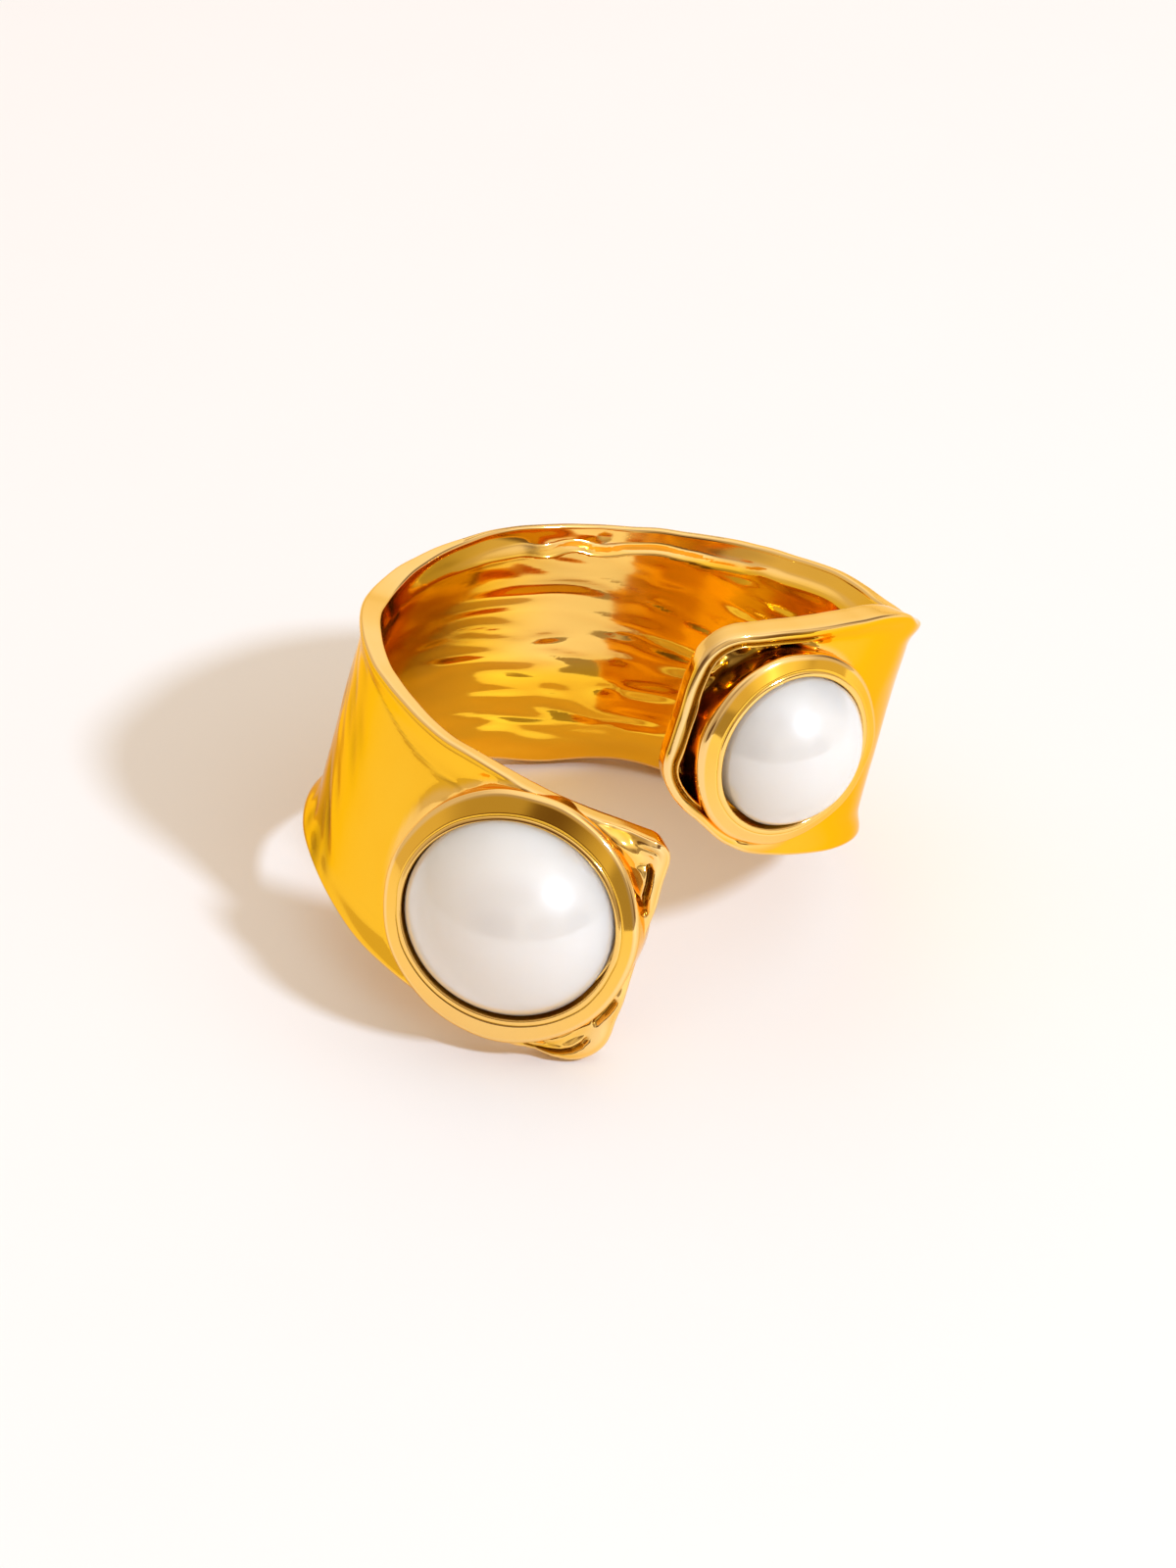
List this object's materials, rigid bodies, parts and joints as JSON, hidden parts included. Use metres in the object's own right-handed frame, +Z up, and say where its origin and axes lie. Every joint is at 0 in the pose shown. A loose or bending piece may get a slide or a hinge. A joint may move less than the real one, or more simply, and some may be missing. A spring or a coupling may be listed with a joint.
{
  "type": "pearl ring",
  "caption": "Open ring: a wide hammered metal band wraps the finger like a coil, its ends passing each other, each with a half pearl in a soldered collar.",
  "frame": {"origin": "on the table, under the middle of the ring's box", "axes": "+Z up, with the ring leaning on the table as it rests there; the large pearl faces -Y; the small pearl is to the right of it, towards +X"},
  "size_m": [0.0216, 0.0246, 0.0158],
  "materials": {
    "gold": "polished, gold plated, hammered on the inside",
    "pearl": "pearly white lustre"
  },
  "bodies": {
    "root": {"band": "gold", "large_pearl": "pearl", "small_pearl": "pearl"}
  },
  "joints": []
}
